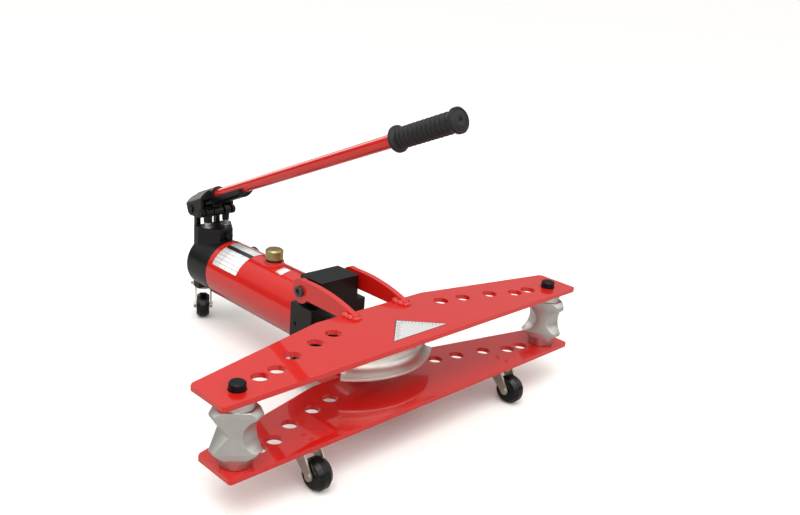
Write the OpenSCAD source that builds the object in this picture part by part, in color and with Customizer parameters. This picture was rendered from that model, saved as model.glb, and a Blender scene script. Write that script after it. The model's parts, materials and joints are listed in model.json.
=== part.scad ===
// Hydraulic pipe bender: two wing plates hold a roller block at each end,
// and a hand-pumped ram pushes a bending former between them.
// Units are mm, +Z is up, the ram pushes towards -Y and the pump is at +Y.
// The origin is on the floor, in the middle of the footprint.

/* [Wings] */
// Half length of each wing plate
wing_half = 383; // [360:1:410]
// Front edge of the wings, ahead of the outer pins
wing_front = 32; // [28:1:40]
// Rear edge of the wings at their ends, behind the outer pins
wing_end = 49; // [42:1:56]
// Rear edge of the wings in the middle, behind the outer pins
wing_rear = 110; // [104:1:116]
// Half length of the straight middle part of the rear edge
wing_kink = 118; // [100:1:140]
// How much shorter the lower wing is at its left end
lower_trim = 12; // [0:0.5:14]
// Thickness of the wing plates
plate_t = 8; // [6:0.5:10]
// Clear height between the two wings
wing_gap = 103; // [98:0.5:108]
// Corner radius of the wing plates
plate_corner = 5; // [3:0.5:10]

/* [Arms] */
// Thickness of an arm
arm_t = 10; // [8:0.5:12]
// Front tip of the arms, behind the outer pins
arm_front = 83; // [76:1:90]
// Depth of the arms below the outer face of their wing
arm_drop = 8; // [6:0.5:10]
// Radius of the round rear end of an arm
arm_eye_r = 21.5; // [19:0.5:23]
// Radius of the bowed edge of an arm
arm_bow_r = 340; // [320:5:380]
// Height of an arm's crown above the outer face of its wing
arm_crown = 25; // [22:0.5:27]
// Distance of an arm's crown ahead of the pivot
arm_crown_y = 27; // [20:1:34]
// Pivot of the upper wing, behind the outer pins
pivot_y = 222; // [219:0.5:226]
// Pivot of the upper wing, above its top face
pivot_rise = 4; // [2:0.5:6]
// Diameter of the pivot bolts
pivot_d = 16; // [12:0.5:18]

/* [Pins and rollers] */
// Diameter of the roller pins
pin_d = 24; // [21:0.5:26]
// Step of a pin where it sits on its roller block
pin_step = 1; // [0.75:0.25:2]
// Height of a pin above the upper wing
pin_stand = 11; // [8:0.5:16]
// Distance from the pin to the flat sides of a roller block
roller_flat = 37; // [35:0.5:39]
// Distance from the pin to the cut corners of a roller block
roller_nose = 46.5; // [45:0.5:48]
// Bevel of a roller block's corners, above and below
roller_bevel = 6; // [4:0.5:8]
// Turn of the left roller block on its pin
left_roller_turn = 10; // [-45:1:45]
// Turn of the right roller block on its pin
right_roller_turn = -15; // [-45:1:45]
// Height of the boss below a roller block
roller_low = 22; // [16:0.5:24]
// Height of the boss above a roller block
roller_high = 14; // [10:0.5:18]
// Radius of the bosses of a roller block
roller_boss_r = 29; // [26:0.5:32]

/* [Former] */
// Nose radius of the bending former
former_r = 148; // [140:1:156]
// Half length of the former
former_half = 103; // [98:1:107]
// Height of the former
former_h = 52; // [50:0.5:56]
// Radius of the pipe groove in the former
groove_r = 22; // [18:0.5:23]
// Depth of the former from its nose to the ram face
former_depth = 80; // [74:1:86]
// Nose of the former at rest, behind the outer pins
former_nose = 18; // [12:1:24]

/* [Cylinder and ram] */
// Front face of the front block, behind the outer pins
block_front = 190; // [186:1:194]
// Length of the front block
block_len = 56; // [54:0.5:60]
// Half width of the front block between the arms
block_half = 42; // [41:0.5:45]
// Height of the front block above the upper wing
block_rise = 23.5; // [20:0.5:28]
// Outer diameter of the reservoir tube
tube_d = 113; // [108:0.5:116]
// Wall of the reservoir tube
tube_wall = 4; // [3:0.5:6]
// Length of the reservoir tube
tube_len = 273; // [265:1:285]
// Bore of the pressure cylinder
bore_d = 63; // [58:0.5:64]
// Wall of the pressure cylinder
bore_wall = 9; // [7:0.5:9.5]
// Diameter of the ram
ram_d = 48; // [44:0.5:50]
// Travel of the ram back from where it stands
ram_back = 55; // [40:1:58]
// Filler cap, behind the outer pins
filler_y = 377; // [340:1:420]
// Diameter of the filler cap
filler_d = 33; // [30:0.5:36]

/* [Pump] */
// Length of the round pump body
pump_len = 71; // [70:0.5:76]
// Radius of the round pump body
pump_r = 54.5; // [52:0.5:56]
// Half width of the pump block
pump_half = 38.5; // [37:0.5:40]
// Top of the pump block above the upper wing
pump_rise = 18; // [15:0.5:19]
// Distance of each plunger from the middle
plunger_x = 20.5; // [20:0.25:21]
// Distance of the plungers ahead of the fulcrum
plunger_arm = 35; // [34:0.5:38]
// Diameter of the thick plunger
plunger_big = 15; // [13:0.5:16]
// Diameter of the thin plunger
plunger_small = 12; // [10:0.5:13]
// Diameter of the release knob
knob_d = 44; // [38:0.5:46]

/* [Handle] */
// Angle of the handle above level
handle_tilt = 23; // [18:0.5:28]
// Height of the fulcrum above the upper wing
fulcrum_rise = 48; // [46:0.5:52]
// Diameter of the handle tube
handle_d = 22; // [20:0.5:24]
// Reach of the handle ahead of the fulcrum
handle_reach = 710; // [660:5:740]
// Length of the grip
grip_len = 135; // [125:1:150]
// Diameter of the grip
grip_d = 34; // [31:0.5:36]
// Half width of the handle socket
socket_half = 37.5; // [36.5:0.5:39]

/* [Casters] */
// Height of a caster
caster_h = 65; // [64:0.5:70]
// Diameter of a caster wheel
wheel_d = 50; // [46:0.5:51]
// Width of a caster wheel
wheel_w = 25; // [22:0.5:27]
// Distance of the front casters from the middle, as a share of the wings' half length
caster_share = 0.577; // [0.56:0.001:0.6]
// Distance of a wheel's axle from the swivel
trail = 24; // [20:0.5:26]
// Turn of the rear caster at rest
rear_turn = -34; // [-90:1:90]

/* [Hidden] */
$fn = 64;

// Running clearance of shafts and sliding parts, on the radius
fit = 0.05;
// Clearance between loose parts
clear = 0.3;
// Slack of the pins in the wings, so that the upper wing lifts off them
hole_slack = 0.9;
// Overlap that makes a cut pass through a face
over = 1;

// Levels
lower_bot = caster_h;
lower_top = lower_bot + plate_t;
upper_bot = lower_top + wing_gap;
upper_top = upper_bot + plate_t;
axis_z = (lower_top + upper_bot) / 2;

// Roller holes as shares of the wing's half length and of its rear edge
hole_x = [0.888, 0.772, 0.688, 0.573, 0.431, 0.315] * wing_half;
hole_y = [0, 0.104, 0.147, 0.346, 0.482, 0.583] * wing_rear;
hole_d = pin_d + 2 * hole_slack;

// Roller blocks: radius of each round groove, distance of its floor from the pin, and its corner
groove_sizes = [27, 30, 38];
groove_floors = [31.5, 30.5, 31.5];
groove_turns = [0, 180, 270];
vee_floor = 32.5;
vee_half = 25;
boss_taper = 6;
pin_chamfer = 1.5;

// Arms and front block
boss_w = 9;
arm_in = block_half + boss_w;
arm_out = arm_in + arm_t;
pivot_z = upper_top + pivot_rise;
notch_gap = 5;
notch_z = pivot_z - arm_eye_r - notch_gap - axis_z;
block_rear = block_front + block_len;
block_top = upper_top + block_rise - axis_z;
gland_wall = 14;
pivot_depth = 22;
pivot_head_d = 19;
pivot_boss_r = 14;
pivot_head_h = 5;
pivot_hex_r = 6;
lower_bolt_gap = 20;
lower_bolt_y = pivot_y - lower_bolt_gap;
set_back = 14;
set_y = block_rear - set_back;
set_r = 4;
set_hex_r = 2;

// Cylinder
tube_r = tube_d / 2;
bore_r = bore_d / 2;
cyl_r = bore_r + bore_wall;
cyl_front = block_front + gland_wall;
spigot = 25;
pump_front = block_rear + tube_len;
pump_rear = pump_front + pump_len;
cyl_rear = pump_front + spigot;
wiper_w = 5;
wiper_t = 5;

// Ram
ram_r = ram_d / 2;
ram_tip = former_nose + former_depth;
ram_spigot_r = 18;
ram_spigot_l = 30;
piston_l = 26;
piston_gap = 8;
piston_rear = cyl_rear - ram_back - piston_gap;
piston_front = piston_rear - piston_l;
seal_in = 10;
seal_y = piston_front + seal_in;
seal_w = 6;
seal_t = 4.5;
stud_r = 15;
former_end = 2;
former_cut = 20;
former_wall = 12;
former_boss = ram_r + former_wall;

// Filler
boss_rim = 2;
boss_stand = 4;
boss_r = filler_d / 2 + boss_rim;
boss_top = axis_z + tube_r + boss_stand;
filler_bore = 10;
filler_h = 21.5;
washer_t = 1.5;
cap_bevel = 3;
cap_stem = 12;

// Pump
pump_top = upper_top + pump_rise;
fulcrum_back = 13;
fulcrum_y = pump_rear + fulcrum_back;
fulcrum_z = upper_top + fulcrum_rise;
plunger_y = fulcrum_y - plunger_arm;
plunger_lift = 14;
neck_rise = 10;
plunger_foot = axis_z + plunger_lift;
plunger_neck = pump_top + neck_rise;
eye_r = 10.5;
eye_hole_r = 6.8;
eye_shift = 1.2;
pin_r = 5;
fulcrum_r = 6;
ring_t = 2;
gland_h = 12;
gland_t = 3.5;
passage_r = 3;
passage_drop = 20;
passage_z = plunger_foot - passage_drop;
plunger_sump = 26;
collar = 6;
block_side = 14;
block_nose = 15;
spindle_wall = 8;
knob_gap = 4;
knob_edge = 2;
dimple_r = 3;
knob_back = 33;
knob_out = 13;
knob_y = pump_front + knob_back;
knob_x = pump_r + knob_out;
knob_t = 16;
spindle_r = 6;
spindle_in = 18;
plug_r = 8;
plug_x = 4;
plug_back = 15;
plug_rise = 5;
plug_y = pump_front + plug_back;
plug_z = upper_top + plug_rise;
plug_in = 11;
plug_head = 6;

// Fulcrum bracket
ear_x = 22.5;
ear_t = 9;
ear_r = 10;
web_y = 12;
shaft_half = 5;
bolt_x = 10;
bolt_r = 4;
bolt_in = 14;
bolt_head_r = 7.5;
bolt_head = 5;
web_half_x = ear_x + ear_t / 2;
foot_r = 20;
swivel_back = 12;
rear_swivel = fulcrum_y + swivel_back;
foot_rear = rear_swivel + foot_r;
bracket_rise = 30;
bracket_top = axis_z + bracket_rise;

// Handle socket
handle_v = 16;
mouth_u = 53.5;
socket_wall = 5.5;
socket_r = handle_d / 2 + socket_wall;
deck_rear = -13;
deck_front = 42;
deck_low = 11.5;
deck_top = 30;
roof_r = 52;
cheek_t = 5.5;
web_half = 10;
cheek_r = 13;
pad_r = 9;
cheek_low = 6;
tongue_u = 150;
tongue_rise = 4;
tongue_slope = 12;
tube_seat = 12;
tongue_wall = 8;
tongue_r = handle_d / 2 + tongue_wall;
handle_wall = 2.5;
grip_end = 6;
grip_flange = 4.5;
grip_flange_w = 7;
ribs = 11;
rib_depth = 1.5;
rib_margin = 30;
rib_start = handle_reach - grip_len + 0.4 * rib_margin;
rib_pitch = (grip_len - rib_margin) / ribs;

// Casters
wheel_r = wheel_d / 2;
caster_x = caster_share * wing_half;
swivel_y = -7;
leg_t = 3;
leg_gap = 1.5;
leg_in = wheel_w / 2 + leg_gap;
top_plate_t = 4;
race_h = 2;
race_r = 16;
fork_top = caster_h - top_plate_t - race_h - clear;
fork_t = 3;
king_r = 5;
axle_r = 4;
screw_r = 2.5;
screw_head_r = 3.2;
screw_head_h = 2;
screw_gap = 10;
top_half_x = 17;
top_half_y = 20;
king_head = 3;
king_head_r = 7.5;
leg_top_r = 12;
leg_top_drop = 6;
leg_low_r = 7;
rim_flat = 7;
rim_round = 3.5;

// Footprint that sets the origin
front_reach = swivel_y - trail - wheel_r;
frame_y = -(front_reach + foot_rear) / 2;

// Colours for the preview
red = [0.80, 0.07, 0.07];
black = [0.09, 0.09, 0.10];
steel = [0.62, 0.62, 0.64];
alloy = [0.78, 0.78, 0.77];
brass = [0.62, 0.52, 0.25];
rubber = [0.06, 0.06, 0.06];
zinc = [0.66, 0.65, 0.62];

// Moves the machine from the line of the outer pins to the origin
module in_frame() translate([0, frame_y, 0]) children();

// Cylinders along X and along Y, from one coordinate to another
module rod_x(r, x0, x1) translate([x0, 0, 0]) rotate([0, 90, 0]) cylinder(r = r, h = x1 - x0);
module rod_y(r, y0, y1) translate([0, y0, 0]) rotate([-90, 0, 0]) cylinder(r = r, h = y1 - y0);

// A piece and its mirror image on the other side
module both_sides() {
    children();
    mirror([1, 0, 0]) children();
}

// Flat profile in Y and Z, given thickness along X
module side(x0, t) translate([x0, 0, 0]) rotate([90, 0, 90]) linear_extrude(t) children();

// Two circles and the straight sides that touch both
module strap(a, b, ra, rb) {
    d = norm(b - a);
    turn = atan2(b[1] - a[1], b[0] - a[0]);
    lean = acos((ra - rb) / d);
    up = [cos(turn + lean), sin(turn + lean)];
    down = [cos(turn - lean), sin(turn - lean)];
    polygon([a + ra * up, b + rb * up, b + rb * down, a + ra * down]);
    translate(a) circle(ra);
    translate(b) circle(rb);
}

// Outline of a wing plate, with the reach of its left end
module wing_outline(left) {
    polygon([[-left + plate_corner, -wing_front], [wing_half - plate_corner, -wing_front],
        [wing_half, -wing_front + plate_corner], [wing_half, wing_end - plate_corner],
        [wing_half - plate_corner, wing_end], [wing_kink, wing_rear], [-wing_kink, wing_rear],
        [-left + plate_corner, wing_end], [-left, wing_end - plate_corner],
        [-left, -wing_front + plate_corner]]);
    for (x = [plate_corner - left, wing_half - plate_corner])
        translate([x, plate_corner - wing_front]) circle(plate_corner);
}

// Wing plate with its two rows of roller holes
module wing(z, left) translate([0, 0, z]) difference() {
    linear_extrude(plate_t) wing_outline(left);
    for (i = [0:5], sx = [-1, 1])
        translate([sx * hole_x[i], hole_y[i], -over]) cylinder(d = hole_d, h = plate_t + 2 * over);
}

module upper_plate() color(red) wing(upper_bot, wing_half);

module lower_plate() color(red) difference() {
    wing(lower_bot, wing_half - lower_trim);
    for (sx = [-1, 1])
        caster_screw_spots(sx * caster_x, swivel_y)
            translate([0, 0, lower_bot - over]) cylinder(r = screw_r, h = plate_t + 2 * over);
}

// Side view of an arm: a bowed bar from the upper wing to a round end on the pivot
module arm_profile() {
    low = upper_top - arm_drop;
    top = upper_top + arm_crown;
    difference() {
        union() {
            translate([pivot_y, pivot_z]) circle(arm_eye_r);
            intersection() {
                translate([pivot_y - arm_crown_y, top - arm_bow_r]) circle(arm_bow_r, $fn = 128);
                translate([arm_front, low]) square([pivot_y - arm_front, top - low + over]);
            }
        }
        translate([pivot_y, pivot_z]) circle(d = pivot_d + 2 * fit);
        translate([arm_front - over, low - over]) square([wing_rear + over - arm_front, arm_drop + over]);
    }
}

module upper_arm(sx) color(red) side(sx > 0 ? arm_in : -arm_out, arm_t) arm_profile();

module left_upper_arm() upper_arm(-1);
module right_upper_arm() upper_arm(1);

// Turns a piece of the upper wing over to make its match on the lower wing
module flip_down() translate([0, 0, 2 * axis_z]) mirror([0, 0, 1]) children();

module lower_arm(sx) flip_down() difference() {
    upper_arm(sx);
    translate([0, lower_bolt_y, pivot_z]) rod_x(pivot_d / 2 + fit, -arm_out - over, arm_out + over);
}

module left_lower_arm() lower_arm(-1);
module right_lower_arm() lower_arm(1);

// Hexagon-socket bolt through the right-hand arm into the front block
module arm_bolt(y) translate([0, y, pivot_z]) difference() {
    head = arm_out + clear;
    union() {
        rod_x(pivot_d / 2, block_half - pivot_depth, head);
        rod_x(pivot_head_d / 2, head, head + pivot_head_h);
    }
    translate([head + pivot_head_h / 3, 0, 0]) rotate([0, 90, 0])
        cylinder(r = pivot_hex_r, h = pivot_head_h, $fn = 6);
}

module pivot_bolts() color(steel) both_sides() arm_bolt(pivot_y);

module lower_arm_bolts() color(steel) flip_down() both_sides() {
    arm_bolt(pivot_y);
    arm_bolt(lower_bolt_y);
}

// Places of the arm bolts on one side of the front block, level with the cylinder's axis
module bolt_spots() for (spot = [[pivot_y, 1], [pivot_y, -1], [lower_bolt_y, -1]])
    translate([0, spot[0], spot[1] * (pivot_z - axis_z)]) children();

// Block that joins the wings to the cylinder and guides the ram, with a round boss behind each arm bolt
module front_block() color(black) translate([0, 0, axis_z]) difference() {
    union() {
        translate([-block_half, block_front, -block_top]) cube([2 * block_half, block_len, 2 * block_top]);
        translate([-arm_out, block_front, -notch_z]) cube([2 * arm_out, block_len, 2 * notch_z]);
        both_sides() bolt_spots() rod_x(pivot_boss_r, block_half - over, arm_in - clear);
    }
    rod_y(ram_r + fit, block_front - over, block_rear);
    rod_y(cyl_r, cyl_front, block_rear + over);
    rod_y(ram_r + wiper_t, block_front - over, block_front + wiper_w);
    both_sides() {
        bolt_spots() rod_x(pivot_d / 2, block_half - pivot_depth, arm_in + over);
        translate([0, set_y, 0]) rod_x(set_r, cyl_r - set_r, arm_out + over);
    }
}

// Set screws that lock the cylinder in the front block
module set_screws() color(steel) both_sides() translate([0, set_y, axis_z]) difference() {
    rod_x(set_r, cyl_r + clear, arm_out - 1);
    translate([arm_out - set_r, 0, 0]) rotate([0, 90, 0]) cylinder(r = set_hex_r, h = set_r, $fn = 6);
}

module ram_wiper() color(rubber) translate([0, 0, axis_z]) difference() {
    rod_y(ram_r + wiper_t, block_front, block_front + wiper_w);
    rod_y(ram_r + clear, block_front - over, block_front + wiper_w + over);
}

module reservoir_tube() color(red) difference() {
    translate([0, 0, axis_z]) difference() {
        rod_y(tube_r, block_rear, pump_front);
        rod_y(tube_r - tube_wall, block_rear - over, pump_front + over);
    }
    translate([0, filler_y, axis_z]) cylinder(r = filler_bore, h = tube_r + over);
}

module pressure_cylinder() color(steel) translate([0, 0, axis_z]) difference() {
    rod_y(cyl_r, cyl_front, cyl_rear);
    rod_y(bore_r, cyl_front - over, cyl_rear + over);
}

module ram() color(steel) translate([0, 0, axis_z]) {
    rod_y(ram_spigot_r, ram_tip - ram_spigot_l, ram_tip);
    rod_y(ram_r, ram_tip, piston_front);
    rod_y(stud_r, piston_front, piston_rear);
}

module piston() color(steel) translate([0, 0, axis_z]) difference() {
    rod_y(bore_r - fit, piston_front, piston_rear);
    rod_y(stud_r, piston_front - over, piston_rear + over);
    difference() {
        rod_y(bore_r + over, seal_y, seal_y + seal_w);
        rod_y(bore_r - seal_t, piston_front, piston_rear);
    }
}

module piston_seal() color(rubber) translate([0, 0, axis_z]) difference() {
    rod_y(bore_r - fit, seal_y, seal_y + seal_w);
    rod_y(bore_r - seal_t, piston_front, piston_rear);
}

// Bending former: a segment with ends cut square to its nose, a round pipe groove and a ram socket
module bending_former() color(alloy) translate([0, former_nose, axis_z]) difference() {
    heel = former_r - sqrt(former_r * former_r - former_half * former_half) + former_end;
    intersection() {
        translate([0, former_r, -former_h / 2]) cylinder(r = former_r, h = former_h, $fn = 128);
        translate([0, 0, -former_h / 2]) linear_extrude(former_h)
            polygon([[-former_half, 0], [former_half, 0], [former_half, heel],
                [former_half - former_cut, heel + former_cut], [former_boss, former_depth],
                [-former_boss, former_depth], [former_cut - former_half, heel + former_cut],
                [-former_half, heel]]);
    }
    translate([0, former_r, 0]) rotate_extrude($fn = 128) translate([former_r, 0]) circle(groove_r);
    rod_y(ram_spigot_r + fit, former_depth - ram_spigot_l - 2, former_depth + over);
}

// Round envelope that bevels the corners of a roller block
module roller_envelope(h) {
    corner_r = norm([roller_nose, sqrt(2) * roller_flat - roller_nose]);
    rotate_extrude() polygon([[0, 0], [corner_r - roller_bevel, 0], [corner_r + over, roller_bevel + over],
        [corner_r + over, h - roller_bevel - over], [corner_r - roller_bevel, h], [0, h]]);
}

// Roller block: a square block on edge, with a different pipe groove in each corner
module roller() {
    h = wing_gap - 2 * clear;
    body_h = h - roller_low - roller_high;
    difference() {
        union() {
            cylinder(r1 = roller_boss_r - boss_taper, r2 = roller_boss_r, h = roller_low);
            translate([0, 0, h - roller_high]) cylinder(r = roller_boss_r, h = roller_high);
            translate([0, 0, roller_low]) intersection() {
                linear_extrude(body_h) intersection() {
                    rotate(45) square(2 * roller_flat, center = true);
                    square(2 * roller_nose, center = true);
                }
                roller_envelope(body_h);
            }
        }
        translate([0, 0, -over]) cylinder(r = pin_d / 2 - pin_step + clear, h = h + 2 * over);
        translate([0, 0, roller_low + body_h / 2]) {
            rotate(90) groove_v();
            for (i = [0:2]) rotate(groove_turns[i]) groove_round(groove_sizes[i], groove_floors[i]);
        }
    }
}

// Cuts along X at the +Y corner of a roller block
module groove_v() {
    deep = roller_nose - vee_floor;
    side(-2 * roller_nose, 4 * roller_nose)
        polygon([[vee_floor, 0], [roller_nose + deep, 2 * vee_half], [roller_nose + deep, -2 * vee_half]]);
}
module groove_round(r, groove_floor) translate([0, groove_floor + r, 0])
    rod_x(r, -2 * roller_nose, 2 * roller_nose);

module left_roller() color(alloy) translate([-hole_x[0], 0, lower_top + clear])
    rotate(left_roller_turn) roller();
module right_roller() color(alloy) translate([hole_x[0], 0, lower_top + clear])
    rotate(180 + right_roller_turn) roller();

// Roller pin with chamfered ends, stepped so that it sits on its roller block
module roller_pin() {
    foot = lower_bot + 1;
    seat = upper_bot - clear;
    top = upper_top + pin_stand;
    foot_d = pin_d - 2 * pin_step;
    translate([0, 0, foot]) cylinder(d1 = foot_d - 2 * pin_chamfer, d2 = foot_d, h = pin_chamfer);
    translate([0, 0, foot + pin_chamfer]) cylinder(d = foot_d, h = seat - foot - pin_chamfer);
    translate([0, 0, seat]) cylinder(d = pin_d, h = top - pin_chamfer - seat);
    translate([0, 0, top - pin_chamfer]) cylinder(d1 = pin_d, d2 = pin_d - 2 * pin_chamfer, h = pin_chamfer);
}

module left_pin() color(black) translate([-hole_x[0], 0, 0]) roller_pin();
module right_pin() color(black) translate([hole_x[0], 0, 0]) roller_pin();

module filler_boss() color(red) translate([0, filler_y, axis_z]) difference() {
    cylinder(r = boss_r, h = boss_top - axis_z);
    translate([0, -filler_y, 0]) rod_y(tube_r, block_rear, pump_front);
    cylinder(r = filler_bore, h = boss_top);
}

module filler_washer() color(rubber) translate([0, filler_y, boss_top]) difference() {
    cylinder(r = filler_d / 2 - 1, h = washer_t);
    translate([0, 0, -over]) cylinder(r = filler_bore, h = washer_t + 2 * over);
}

// Filler cap: a round knob with bevelled edges and a stem in the boss
module filler_cap() color(brass) translate([0, filler_y, boss_top + washer_t]) {
    cylinder(d1 = filler_d - 2 * cap_bevel, d2 = filler_d, h = cap_bevel);
    translate([0, 0, cap_bevel]) cylinder(d = filler_d, h = filler_h - 2 * cap_bevel);
    translate([0, 0, filler_h - cap_bevel])
        cylinder(d1 = filler_d, d2 = filler_d - 2 * cap_bevel, h = cap_bevel);
    translate([0, 0, -washer_t - cap_stem]) cylinder(r = filler_bore - fit, h = washer_t + cap_stem);
}

// Plan of the pump block, narrowing to the front
module pump_plan() polygon([[-pump_half, pump_rear], [pump_half, pump_rear],
    [pump_half, pump_rear - block_side], [block_nose, plug_y], [-block_nose, plug_y],
    [-pump_half, pump_rear - block_side]]);

// Plunger bore with the counterbore of its gland
module plunger_bore(sx, d) translate([sx * plunger_x, plunger_y, 0]) {
    translate([0, 0, plunger_foot - plunger_sump]) cylinder(d = d + 2 * fit, h = pump_top);
    translate([0, 0, pump_top - gland_h]) cylinder(r = d / 2 + gland_t, h = gland_h + over);
    translate([0, 0, passage_z]) rod_y(passage_r, cyl_rear - over - plunger_y, 0);
}

// Pump body: a round rear end for the cylinder with the pump block on top
module pump_body() color(black) difference() {
    union() {
        translate([0, 0, axis_z]) {
            rod_y(tube_r, pump_front, pump_front + collar);
            rod_y(pump_r, pump_front, pump_rear);
            translate([0, knob_y, 0]) rod_x(spindle_r + spindle_wall, 0, knob_x - knob_gap);
        }
        translate([0, 0, axis_z]) linear_extrude(pump_top - axis_z) pump_plan();
    }
    translate([0, 0, axis_z]) rod_y(cyl_r, pump_front - over, cyl_rear);
    plunger_bore(-1, plunger_big);
    plunger_bore(1, plunger_small);
    translate([0, knob_y, axis_z]) rod_x(spindle_r + fit, spindle_in, knob_x + over);
    translate([plug_x, plug_y, plug_z]) rod_y(plug_r - 2, -over, plug_in);
    both_sides() translate([bolt_x, 0, axis_z]) rod_y(bolt_r, pump_rear - bolt_in, pump_rear + over);
}

module relief_plug() color(black) translate([plug_x, plug_y, plug_z]) {
    rod_y(plug_r - 2, 0, plug_in);
    translate([0, -plug_head, 0]) rotate([-90, 0, 0]) cylinder(r = plug_r, h = plug_head, $fn = 6);
}

module plunger(sx, d) color(steel) translate([sx * plunger_x, plunger_y, plunger_foot])
    cylinder(d = d, h = plunger_neck - plunger_foot);

module big_plunger() plunger(-1, plunger_big);
module small_plunger() plunger(1, plunger_small);

// Eye on top of a plunger, with a loose hole for the plunger pin
module plunger_eye(sx, d) color(black) translate([sx * plunger_x, plunger_y, 0]) difference() {
    union() {
        translate([0, 0, plunger_neck]) cylinder(d = d + 2, h = fulcrum_z - plunger_neck);
        translate([0, eye_shift, fulcrum_z]) rod_x(eye_r, -d / 2, d / 2);
    }
    translate([0, eye_shift, fulcrum_z]) rod_x(eye_hole_r, -d, d);
}

module big_eye() plunger_eye(-1, plunger_big);
module small_eye() plunger_eye(1, plunger_small);

module plunger_gland(sx, d) color(steel) translate([sx * plunger_x, plunger_y, pump_top - gland_h])
    difference() {
        cylinder(r = d / 2 + gland_t, h = gland_h);
        translate([0, 0, -over]) cylinder(d = d + 2 * fit, h = gland_h + 2 * over);
    }

module big_gland() plunger_gland(-1, plunger_big);
module small_gland() plunger_gland(1, plunger_small);

module release_spindle() color(steel) translate([0, knob_y, axis_z])
    rod_x(spindle_r, spindle_in + 2, knob_x + knob_t - knob_gap);

// Round knob with a stepped edge and a dimple in its face
module release_knob() color(black) translate([0, knob_y, axis_z]) difference() {
    face = knob_x + knob_t;
    union() {
        rod_x(knob_d / 2, knob_x + knob_edge, face);
        rod_x(knob_d / 2 - knob_edge, knob_x, face + knob_edge);
    }
    rod_x(spindle_r, knob_x - over, face - knob_gap);
    rod_x(dimple_r, face, face + knob_edge + over);
}

// Bracket behind the pump body: two ears for the fulcrum pin and a foot for the rear caster
module fulcrum_bracket() color(black) difference() {
    union() {
        translate([-web_half_x, pump_rear, lower_bot]) cube([2 * web_half_x, web_y, bracket_top - lower_bot]);
        translate([0, 0, lower_bot]) linear_extrude(plate_t) {
            translate([0, rear_swivel]) circle(foot_r);
            translate([-foot_r, pump_rear]) square([2 * foot_r, rear_swivel - pump_rear]);
        }
        both_sides() side(ear_x - ear_t / 2, ear_t) {
            translate([fulcrum_y, fulcrum_z]) circle(ear_r);
            translate([fulcrum_y - shaft_half, lower_bot]) square([2 * shaft_half, fulcrum_z - lower_bot]);
        }
    }
    translate([0, fulcrum_y, fulcrum_z]) rod_x(fulcrum_r + fit, -socket_half, socket_half);
    both_sides() translate([bolt_x, 0, axis_z]) rod_y(bolt_r, pump_rear - over, pump_rear + web_y + over);
    rear_screw_spots() translate([0, 0, lower_bot - over]) cylinder(r = screw_r, h = plate_t + 2 * over);
}

module bracket_bolts() color(steel) both_sides() translate([bolt_x, 0, axis_z]) {
    rod_y(bolt_r, pump_rear - bolt_in, pump_rear + web_y);
    translate([0, pump_rear + web_y, 0]) rotate([-90, 0, 0])
        cylinder(r = bolt_head_r, h = bolt_head, $fn = 6);
}

// Pin across the handle socket, with a ring at each end that stands off by a gap
module cross_pin(r, gap) {
    rod_x(r, -socket_half - gap, socket_half + gap);
    both_sides() rod_x(r + ring_t, socket_half + gap, socket_half + gap + ring_t);
}

module fulcrum_pin() color(steel) translate([0, fulcrum_y, fulcrum_z]) cross_pin(fulcrum_r, clear);
module plunger_pin() color(steel) translate([0, plunger_y, fulcrum_z]) cross_pin(pin_r, 0);

// Puts handle pieces, drawn level along -Y, on the fulcrum at the handle's angle
module on_handle() translate([0, fulcrum_y, fulcrum_z]) rotate([-handle_tilt, 0, 0]) children();

// Cylinder along the handle, from one reach to another
module along(r, u0, u1) translate([0, -u0, handle_v]) rotate([90, 0, 0]) cylinder(r = r, h = u1 - u0);

// Side view of the walls of the handle socket, with Y pointing back along the handle
module wall_profile() {
    pad = [-plunger_arm * cos(handle_tilt), -plunger_arm * sin(handle_tilt)];
    wall_top = deck_low + over;
    strap([0, 0], pad, cheek_r, pad_r);
    polygon([[cheek_r, 0], [cheek_r, wall_top], [-deck_front, wall_top], [-deck_front, deck_low - cheek_low],
        pad, [0, -cheek_r / 2]]);
}

// Trough under the handle tube, ahead of the socket
module tongue() intersection() {
    along(tongue_r, deck_front - tongue_rise, tongue_u);
    side(-tongue_r, 2 * tongue_r)
        polygon([[tongue_rise - deck_front, handle_v - tongue_rise], [-tongue_u, handle_v - tongue_rise],
            [tongue_slope - tongue_u, handle_v - tongue_r], [tongue_rise - deck_front, handle_v - tongue_r]]);
}

// Handle socket: a yoke over both plungers that ends in a socket and a trough for the tube
module handle_socket() color(black) on_handle() difference() {
    union() {
        both_sides() side(socket_half - cheek_t, cheek_t) wall_profile();
        side(-web_half, 2 * web_half) wall_profile();
        translate([0, -deck_rear, 0]) rotate([90, 0, 0]) linear_extrude(deck_front - deck_rear)
            intersection() {
                translate([0, deck_top - roof_r]) circle(roof_r, $fn = 128);
                translate([-socket_half, deck_low]) square([2 * socket_half, deck_top]);
            }
        along(socket_r, deck_rear, mouth_u);
        tongue();
    }
    along(handle_d / 2 + fit, tube_seat, tongue_u + over);
    rod_x(fulcrum_r + fit, -socket_half - over, socket_half + over);
    rotate([handle_tilt, 0, 0]) translate([0, -plunger_arm, 0])
        rod_x(pin_r, -socket_half - over, socket_half + over);
}

module handle_tube() color(red) on_handle() difference() {
    along(handle_d / 2, tube_seat, handle_reach - grip_end);
    along(handle_d / 2 - handle_wall, tube_seat - over, handle_reach);
}

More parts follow.
